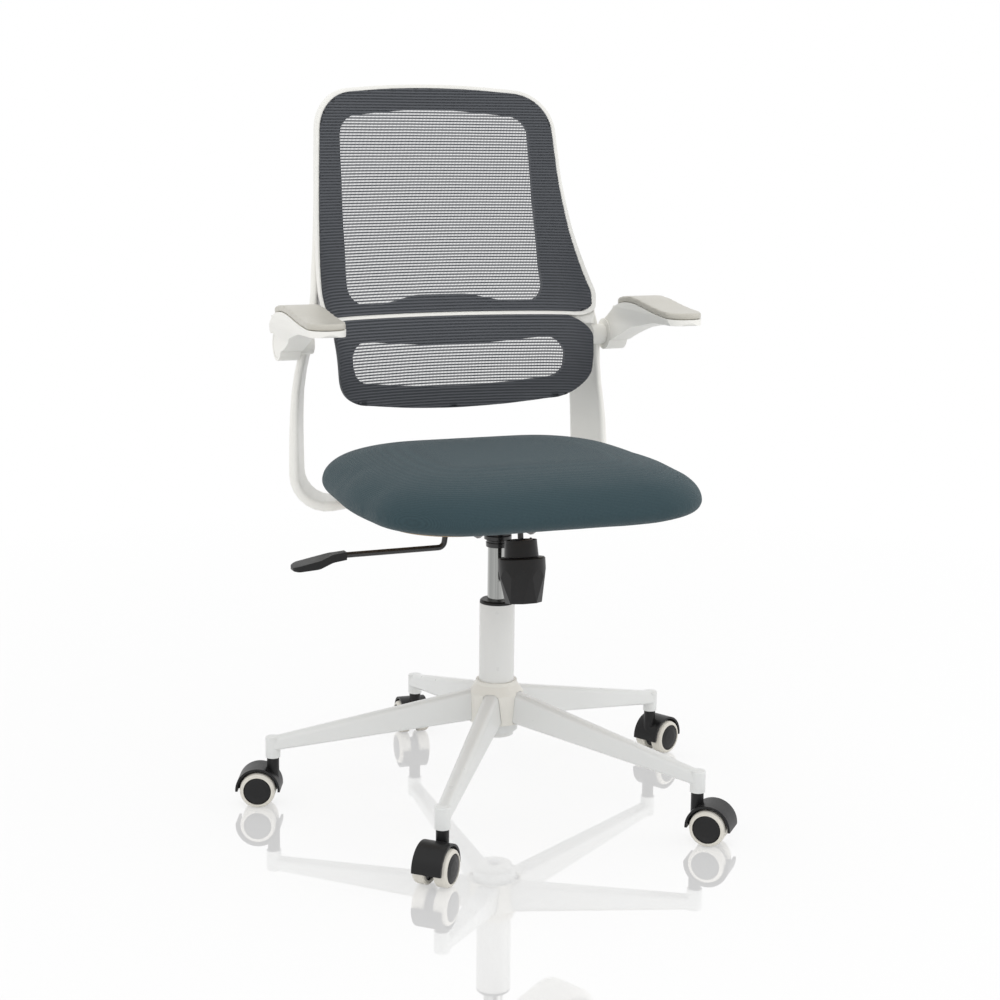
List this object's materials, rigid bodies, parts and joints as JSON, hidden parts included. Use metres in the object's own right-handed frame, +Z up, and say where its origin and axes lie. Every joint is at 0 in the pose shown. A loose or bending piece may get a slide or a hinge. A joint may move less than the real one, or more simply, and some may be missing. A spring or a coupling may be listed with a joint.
{
  "type": "swivel task chair",
  "caption": "Swivel task chair: star base on casters, gas column, tilting cushioned seat, framed mesh back in an upper and a lower panel, flip-up armrests.",
  "frame": {"origin": "on the floor, on the axis of the gas column", "axes": "+Z up, the sitter faces -Y, +X is the sitter's left"},
  "size_m": [0.7131, 0.6848, 1.0076],
  "materials": {
    "base_paint": "glossy white powder coat",
    "cover_plastic": "cream moulding, satin gloss",
    "column_paint": "pale grey-white paint",
    "black_plastic": "satin black moulding",
    "steel": "plain steel",
    "chrome": "bright drawn cylinder",
    "black_metal": "black paint",
    "spring_steel": "oiled spring steel",
    "plywood": "bare moulded plywood",
    "seat_cloth": "woven petrol grey cloth",
    "frame_plastic": "warm white moulding, satin gloss",
    "panel_plastic": "dark slate grey moulding",
    "mesh_cloth": "open knitted mesh",
    "pad_foam": "soft greige skin",
    "tread": "soft cream tread"
  },
  "bodies": {
    "base": {"star_base": "base_paint", "hub_cover": "cover_plastic", "gas_outer_tube": "column_paint", "guide_bush": "black_plastic"},
    "rod": {"piston_rod": "steel"},
    "lift": {"gas_cylinder": "chrome", "column_bracket": "black_metal"},
    "valve": {"valve_pin": "steel"},
    "lock_slider": {"tilt_lock_plate": "black_metal"},
    "lever": {"lever_rod": "black_metal", "lever_paddle": "black_plastic"},
    "seat": {"tilt_pin": "steel", "mechanism_pan": "black_metal", "tension_bolt": "steel", "spring_cup": "black_plastic", "tension_spring": "spring_steel", "seat_board": "plywood", "seat_cushion": "seat_cloth", "seat_bolts": "steel", "back_frame": "frame_plastic", "upper_panel_rim": "panel_plastic", "upper_mesh": "mesh_cloth", "lower_panel_rim": "panel_plastic", "lower_mesh": "mesh_cloth", "arm_pivot_bolts": "frame_plastic"},
    "knob": {"tension_knob": "black_plastic"},
    "armrest_left": {"arm_left": "frame_plastic", "arm_pad_left": "pad_foam"},
    "armrest_right": {"arm_right": "frame_plastic", "arm_pad_right": "pad_foam"},
    "caster_1": {"caster_hood_1": "black_plastic", "caster_stem_1": "steel"},
    "wheel_1a": {"wheel_core_1a": "black_plastic", "wheel_tread_1a": "tread"},
    "wheel_1b": {"wheel_core_1b": "black_plastic", "wheel_tread_1b": "tread"},
    "caster_2": {"caster_hood_2": "black_plastic", "caster_stem_2": "steel"},
    "wheel_2a": {"wheel_core_2a": "black_plastic", "wheel_tread_2a": "tread"},
    "wheel_2b": {"wheel_core_2b": "black_plastic", "wheel_tread_2b": "tread"},
    "caster_3": {"caster_hood_3": "black_plastic", "caster_stem_3": "steel"},
    "wheel_3a": {"wheel_core_3a": "black_plastic", "wheel_tread_3a": "tread"},
    "wheel_3b": {"wheel_core_3b": "black_plastic", "wheel_tread_3b": "tread"},
    "caster_4": {"caster_hood_4": "black_plastic", "caster_stem_4": "steel"},
    "wheel_4a": {"wheel_core_4a": "black_plastic", "wheel_tread_4a": "tread"},
    "wheel_4b": {"wheel_core_4b": "black_plastic", "wheel_tread_4b": "tread"},
    "caster_5": {"caster_hood_5": "black_plastic", "caster_stem_5": "steel"},
    "wheel_5a": {"wheel_core_5a": "black_plastic", "wheel_tread_5a": "tread"},
    "wheel_5b": {"wheel_core_5b": "black_plastic", "wheel_tread_5b": "tread"}
  },
  "joints": [
    {"name": "caster_1_swivel", "type": "hinge", "parent": "base", "child": "caster_1", "pos_m": [-0.17542, -0.26404, 0.07], "axis": [0, 0, 1], "continuous": true},
    {"name": "wheel_1a_spin", "type": "hinge", "parent": "caster_1", "child": "wheel_1a", "pos_m": [-0.18932, -0.27842, 0.025], "axis": [0.7193, -0.6947, 0], "continuous": true},
    {"name": "wheel_1b_spin", "type": "hinge", "parent": "caster_1", "child": "wheel_1b", "pos_m": [-0.18932, -0.27842, 0.025], "axis": [0.7193, -0.6947, 0], "continuous": true},
    {"name": "caster_2_swivel", "type": "hinge", "parent": "base", "child": "caster_2", "pos_m": [0.1969, -0.24843, 0.07], "axis": [0, 0, 1], "continuous": true},
    {"name": "wheel_2a_spin", "type": "hinge", "parent": "caster_2", "child": "wheel_2a", "pos_m": [0.21177, -0.26181, 0.025], "axis": [0.6691, 0.7431, 0], "continuous": true},
    {"name": "wheel_2b_spin", "type": "hinge", "parent": "caster_2", "child": "wheel_2b", "pos_m": [0.21177, -0.26181, 0.025], "axis": [0.6691, 0.7431, 0], "continuous": true},
    {"name": "caster_3_swivel", "type": "hinge", "parent": "base", "child": "caster_3", "pos_m": [0.29712, 0.1105, 0.07], "axis": [0, 0, 1], "continuous": true},
    {"name": "wheel_3a_spin", "type": "hinge", "parent": "caster_3", "child": "wheel_3a", "pos_m": [0.31494, 0.11958, 0.025], "axis": [-0.454, 0.891, 0], "continuous": true},
    {"name": "wheel_3b_spin", "type": "hinge", "parent": "caster_3", "child": "wheel_3b", "pos_m": [0.31494, 0.11958, 0.025], "axis": [-0.454, 0.891, 0], "continuous": true},
    {"name": "caster_4_swivel", "type": "hinge", "parent": "base", "child": "caster_4", "pos_m": [-0.01328, 0.31672, 0.07], "axis": [0, 0, 1], "continuous": true},
    {"name": "wheel_4a_spin", "type": "hinge", "parent": "caster_4", "child": "wheel_4a", "pos_m": [-0.01188, 0.33667, 0.025], "axis": [-0.9976, 0.0698, 0], "continuous": true},
    {"name": "wheel_4b_spin", "type": "hinge", "parent": "caster_4", "child": "wheel_4b", "pos_m": [-0.01188, 0.33667, 0.025], "axis": [-0.9976, 0.0698, 0], "continuous": true},
    {"name": "caster_5_swivel", "type": "hinge", "parent": "base", "child": "caster_5", "pos_m": [-0.30532, 0.08525, 0.07], "axis": [0, 0, 1], "continuous": true},
    {"name": "wheel_5a_spin", "type": "hinge", "parent": "caster_5", "child": "wheel_5a", "pos_m": [-0.32387, 0.09274, 0.025], "axis": [-0.3746, -0.9272, 0], "continuous": true},
    {"name": "wheel_5b_spin", "type": "hinge", "parent": "caster_5", "child": "wheel_5b", "pos_m": [-0.32387, 0.09274, 0.025], "axis": [-0.3746, -0.9272, 0], "continuous": true},
    {"name": "seat_swivel", "type": "hinge", "parent": "base", "child": "rod", "pos_m": [0, 0, 0.1], "axis": [0, 0, 1], "continuous": true},
    {"name": "height_slide", "type": "slide", "parent": "rod", "child": "lift", "axis": [0, 0, 1], "range_m": [-0.07, 0.03]},
    {"name": "seat_tilt", "type": "hinge", "parent": "lift", "child": "seat", "pos_m": [0, -0.035, 0.412], "axis": [-1, 0, 0], "range_deg": [0, 12], "stiffness_Nm_per_rad": 80, "springref_deg": -20.05},
    {"name": "lever_pull", "type": "slide", "parent": "lift", "child": "lock_slider", "axis": [-1, 0, 0], "range_m": [0, 0.01]},
    {"name": "lever_lift", "type": "hinge", "parent": "lock_slider", "child": "lever", "pos_m": [-0.034, 0, 0.4155], "axis": [0, 1, 0], "range_deg": [0, 6], "stiffness_Nm_per_rad": 2, "springref_deg": -20.05},
    {"name": "valve_press", "type": "slide", "parent": "lift", "child": "valve", "axis": [0, 0, -1], "range_m": [0, 0.005]},
    {"name": "knob_turn", "type": "hinge", "parent": "seat", "child": "knob", "pos_m": [0, -0.089, 0.374], "axis": [0, 0.1564, 0.9877], "range_deg": [-720, 720]},
    {"name": "arm_flip_left", "type": "hinge", "parent": "seat", "child": "armrest_left", "pos_m": [0.253, 0.182, 0.643], "axis": [-1, 0, 0], "range_deg": [0, 90]},
    {"name": "arm_flip_right", "type": "hinge", "parent": "seat", "child": "armrest_right", "pos_m": [-0.253, 0.182, 0.643], "axis": [-1, 0, 0], "range_deg": [0, 90]}
  ],
  "couplings": [
    {"joint": "valve_press", "follows": "lever_lift", "m_per_rad": 0.046}
  ]
}
